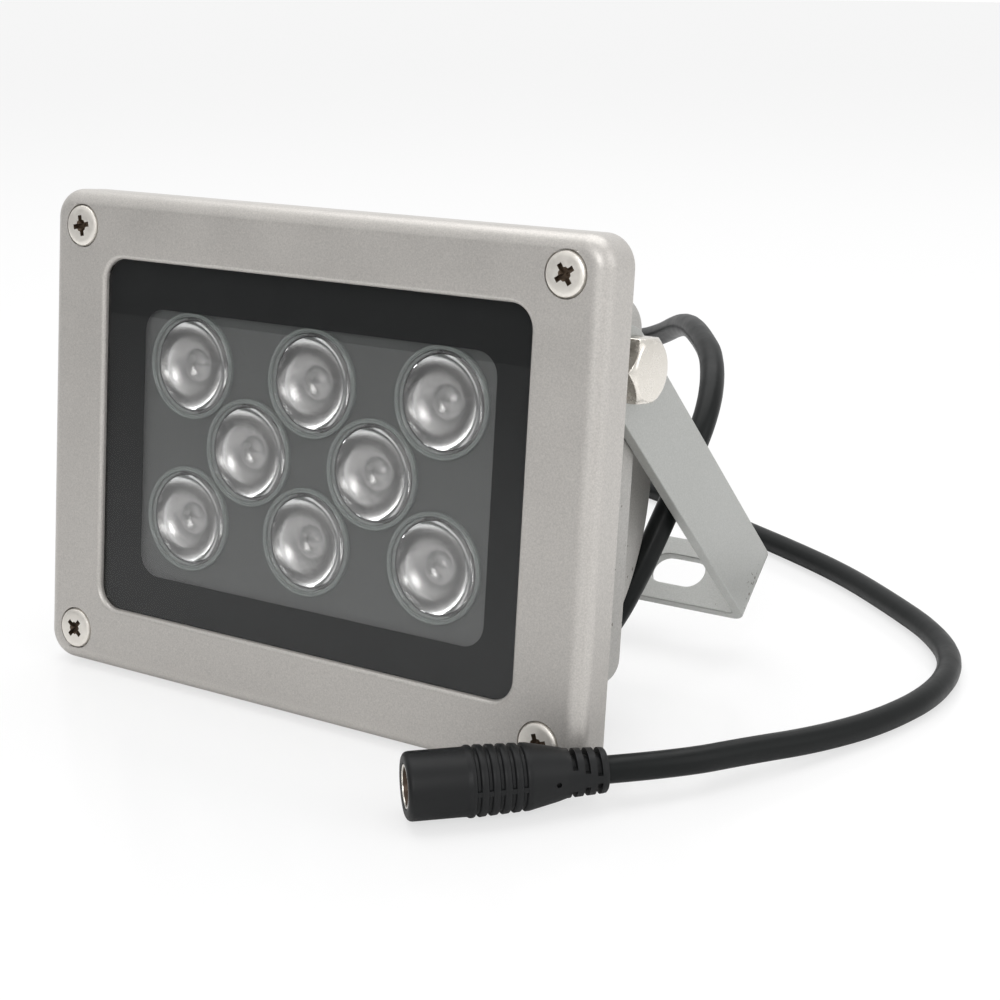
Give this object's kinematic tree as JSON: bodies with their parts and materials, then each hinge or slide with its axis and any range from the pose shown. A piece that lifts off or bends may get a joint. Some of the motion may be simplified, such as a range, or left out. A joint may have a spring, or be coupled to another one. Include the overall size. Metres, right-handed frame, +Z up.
{
  "type": "infrared illuminator",
  "caption": "Weatherproof infrared illuminator with a finned die-cast housing, screwed front frame, glass window, moulded lenses, folded bracket and a lead with a moulded socket.",
  "frame": {"origin": "on the standing surface, under the middle of the lamp and its bracket", "axes": "+Z up, the lamp looks towards -Y and is tipped back a little, +X to its left"},
  "size_m": [0.1736, 0.1799, 0.0844],
  "materials": {
    "silver_paint": "satin metallic silver-grey paint",
    "bracket_paint": "satin grey paint",
    "nickel": "bright nickel",
    "window_glass": "clear with a black printed border",
    "silicone": "matt",
    "dark_plate": "matt dark grey",
    "clear_acrylic": "clear and glossy",
    "holder_plastic": "satin grey",
    "emitter_epoxy": "clear tinted",
    "emitter_board": "white solder mask",
    "circuit_board": "solder mask",
    "wire_jacket": "satin",
    "ferrite": "matt",
    "can_aluminium": "satin",
    "gland_nylon": "satin black",
    "cord_jacket": "satin black",
    "moulded_black": "satin black",
    "insulator": "matt black"
  },
  "bodies": {
    "lamp": {"board_leads": "wire_jacket", "board_screws": "nickel", "bracket_bolts": "nickel", "capacitor": "can_aluminium", "driver_board": "circuit_board", "frame_screws": "nickel", "front_frame": "silver_paint", "front_glass": "window_glass", "gland_body": "gland_nylon", "gland_cap": "gland_nylon", "gland_seal": "silicone", "inductor": "ferrite", "jack_body": "moulded_black", "jack_insulator": "insulator", "jack_pin": "nickel", "jack_sleeve": "nickel", "led_1": "emitter_epoxy", "led_2": "emitter_epoxy", "led_3": "emitter_epoxy", "led_4": "emitter_epoxy", "led_5": "emitter_epoxy", "led_6": "emitter_epoxy", "led_7": "emitter_epoxy", "led_8": "emitter_epoxy", "led_board": "emitter_board", "lens_1": "clear_acrylic", "lens_2": "clear_acrylic", "lens_3": "clear_acrylic", "lens_4": "clear_acrylic", "lens_5": "clear_acrylic", "lens_6": "clear_acrylic", "lens_7": "clear_acrylic", "lens_8": "clear_acrylic", "lens_holder_1": "holder_plastic", "lens_holder_2": "holder_plastic", "lens_holder_3": "holder_plastic", "lens_holder_4": "holder_plastic", "lens_holder_5": "holder_plastic", "lens_holder_6": "holder_plastic", "lens_holder_7": "holder_plastic", "lens_holder_8": "holder_plastic", "lens_plate": "dark_plate", "power_cord": "cord_jacket", "rear_housing": "silver_paint", "sealing_gasket": "silicone", "supply_leads": "wire_jacket"},
    "bracket": {"bracket": "bracket_paint"}
  },
  "joints": [
    {"name": "bracket_hinge", "type": "hinge", "parent": "lamp", "child": "bracket", "pos_m": [0, -0.01427, 0.06211], "axis": [1, 0, 0], "range_deg": [-35, 26]}
  ]
}
